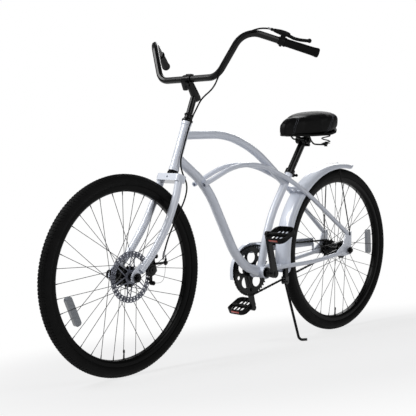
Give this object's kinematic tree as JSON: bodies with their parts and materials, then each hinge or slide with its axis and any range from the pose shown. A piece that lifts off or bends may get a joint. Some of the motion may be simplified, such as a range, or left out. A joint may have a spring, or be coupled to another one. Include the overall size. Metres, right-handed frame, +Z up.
{
  "type": "beach cruiser bicycle",
  "caption": "Beach cruiser bicycle with curved frame tubes, wide swept bar, sprung saddle, rear fender, chain guard and disc brake, leaning on its side stand.",
  "frame": {"origin": "centre of the leaning bicycle's box, on the floor", "axes": "+X forward, +Y to the rider's left, +Z up"},
  "size_m": [1.9697, 0.842, 1.2636],
  "materials": {
    "frame_paint": "bluish white gloss paint",
    "black_metal": "black gloss paint on steel",
    "rim_black": "black satin rim",
    "tyre_black": "black rubber with fine tread",
    "plain_steel": "plated steel",
    "rotor_steel": "ground steel disc",
    "chain_steel": "dark oiled chain",
    "grip_rubber": "moulded black grip",
    "cable_black": "black cable housing",
    "saddle_vinyl": "black vinyl with grey stitching",
    "black_plastic": "black moulded plastic",
    "reflector_clear": "clear reflector"
  },
  "bodies": {
    "frame": {"head_tube": "frame_paint", "crank_shell": "frame_paint", "down_tube": "frame_paint", "seat_tube": "frame_paint", "top_tube": "frame_paint", "dropout_left": "frame_paint", "dropout_right": "frame_paint", "side_tube_left": "frame_paint", "side_tube_right": "frame_paint", "chain_stay_left": "frame_paint", "chain_stay_right": "frame_paint", "rear_axle": "plain_steel", "crank_bearing": "black_metal", "chain": "chain_steel", "fender": "frame_paint", "fender_stays": "black_metal", "frame_bridges": "frame_paint", "chain_guard": "frame_paint", "seat_post": "black_metal", "seat_clamp": "black_metal", "saddle_cover": "saddle_vinyl", "saddle_pan": "black_plastic", "saddle_rails": "black_metal", "saddle_clamp": "black_metal", "saddle_springs": "black_metal", "stand_bracket": "black_metal", "brake_arm": "black_metal"},
    "steering": {"fork_crown": "frame_paint", "fork_leg_left": "frame_paint", "fork_leg_right": "frame_paint", "headset_lower": "black_metal", "headset_upper": "black_metal", "stem": "black_metal", "handlebar": "black_metal", "grip_left": "grip_rubber", "grip_right": "grip_rubber", "front_axle": "plain_steel", "brake_caliper": "black_metal", "brake_lever": "black_metal", "brake_cable": "cable_black"},
    "front_wheel": {"front_tyre": "tyre_black", "front_rim": "rim_black", "front_spokes": "black_metal", "front_hub": "black_metal", "brake_rotor": "rotor_steel", "front_reflector": "reflector_clear"},
    "rear_wheel": {"rear_tyre": "tyre_black", "rear_rim": "rim_black", "rear_spokes": "black_metal", "rear_hub": "black_metal", "rear_reflector": "reflector_clear"},
    "rear_sprocket": {"sprocket": "black_metal"},
    "crankset": {"crank_spindle": "black_metal", "chainring": "black_metal", "crank_arm_left": "black_metal", "crank_arm_right": "black_metal", "pedal_spindles": "plain_steel"},
    "left_pedal": {"pedal_left": "black_plastic"},
    "right_pedal": {"pedal_right": "black_plastic"},
    "stand": {"side_stand": "black_metal"}
  },
  "joints": [
    {"name": "steering_turn", "type": "hinge", "parent": "frame", "child": "steering", "pos_m": [0.378, -0.07376, 0.72131], "axis": [-0.3584, 0.146, 0.9221], "range_deg": [-50, 50]},
    {"name": "front_wheel_spin", "type": "hinge", "parent": "steering", "child": "front_wheel", "pos_m": [0.623, -0.13133, 0.35784], "axis": [0, 0.9877, -0.1564], "continuous": true},
    {"name": "rear_wheel_spin", "type": "hinge", "parent": "frame", "child": "rear_wheel", "pos_m": [-0.623, -0.13133, 0.35784], "axis": [0, 0.9877, -0.1564], "continuous": true},
    {"name": "crank_spin", "type": "hinge", "parent": "frame", "child": "crankset", "pos_m": [-0.11, -0.13993, 0.30352], "axis": [0, 0.9877, -0.1564], "continuous": true},
    {"name": "sprocket_spin", "type": "hinge", "parent": "frame", "child": "rear_sprocket", "pos_m": [-0.623, -0.1817, 0.36582], "axis": [0, 0.9877, -0.1564], "continuous": true},
    {"name": "left_pedal_spin", "type": "hinge", "parent": "crankset", "child": "left_pedal", "pos_m": [-0.066, -0.02535, 0.45162], "axis": [0, 0.9877, -0.1564], "continuous": true},
    {"name": "right_pedal_spin", "type": "hinge", "parent": "crankset", "child": "right_pedal", "pos_m": [-0.154, -0.25451, 0.15541], "axis": [0, 0.9877, -0.1564], "continuous": true},
    {"name": "stand_fold", "type": "hinge", "parent": "frame", "child": "stand", "pos_m": [-0.23, -0.115, 0.24996], "axis": [-0.1736, 0.9727, -0.1541], "range_deg": [0, 78]}
  ],
  "couplings": [
    {"joint": "sprocket_spin", "follows": "crank_spin", "ratio": 2.4444}
  ]
}
